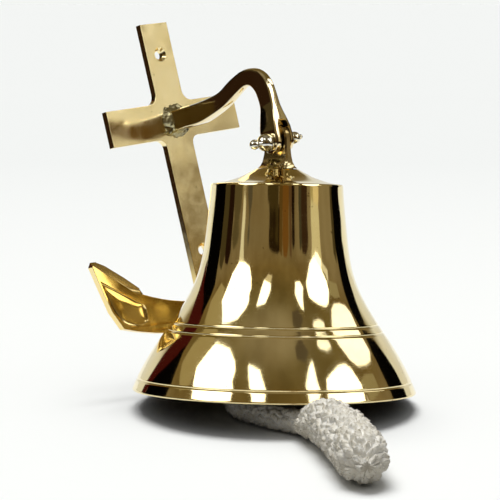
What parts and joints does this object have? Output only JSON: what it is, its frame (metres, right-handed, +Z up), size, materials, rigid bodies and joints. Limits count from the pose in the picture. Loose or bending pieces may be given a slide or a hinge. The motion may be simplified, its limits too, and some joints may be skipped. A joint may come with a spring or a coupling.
{
  "type": "ship bell",
  "caption": "Cast brass ship bell with a clapper and cotton rope, hinged in the fork of an anchor-shaped wall bracket.",
  "frame": {"origin": "on the table, below the middle of the bell and bracket together, without the rope", "axes": "+Z up from the table, -Y towards the end of the rope, +X to the right as seen from the rope's side; the bracket stands at the back left"},
  "size_m": [0.1764, 0.3043, 0.2038],
  "materials": {
    "polished_brass": "mirror-polished cast brass",
    "pale_brass": "hand-polished cast brass, paler than the bell",
    "nickel_plate": "bright plated",
    "cotton_rope": "soft off-white cotton, knotted and fluffy",
    "waxed_twine": "waxed twine"
  },
  "bodies": {
    "bell": {"bell_shell": "polished_brass", "crown_lug": "pale_brass", "crown_washer": "pale_brass", "crown_nut": "pale_brass", "clapper_eye": "pale_brass", "rope_grip": "cotton_rope", "rope_strand": "cotton_rope"},
    "bracket": {"anchor": "pale_brass", "gooseneck_arm": "pale_brass", "arm_screw": "pale_brass", "clevis_bolt": "pale_brass", "cap_nut": "nickel_plate"},
    "clapper": {"clapper_rod": "pale_brass", "clapper_ball": "polished_brass", "clapper_pin": "pale_brass", "rope_eye": "cotton_rope", "rope_whipping": "waxed_twine"}
  },
  "joints": [
    {"name": "bracket_swing", "type": "hinge", "parent": "bell", "child": "bracket", "pos_m": [0.01422, -0.00877, 0.1422], "axis": [0.7336, 0.6758, 0.0718], "range_deg": [0, 90]},
    {"name": "clapper_swing", "type": "hinge", "parent": "bell", "child": "clapper", "pos_m": [0.0135, -0.01436, 0.09393], "axis": [0.7407, 0.666, -0.0882], "range_deg": [-40, 32], "deforming": ["rope_strand"]}
  ]
}
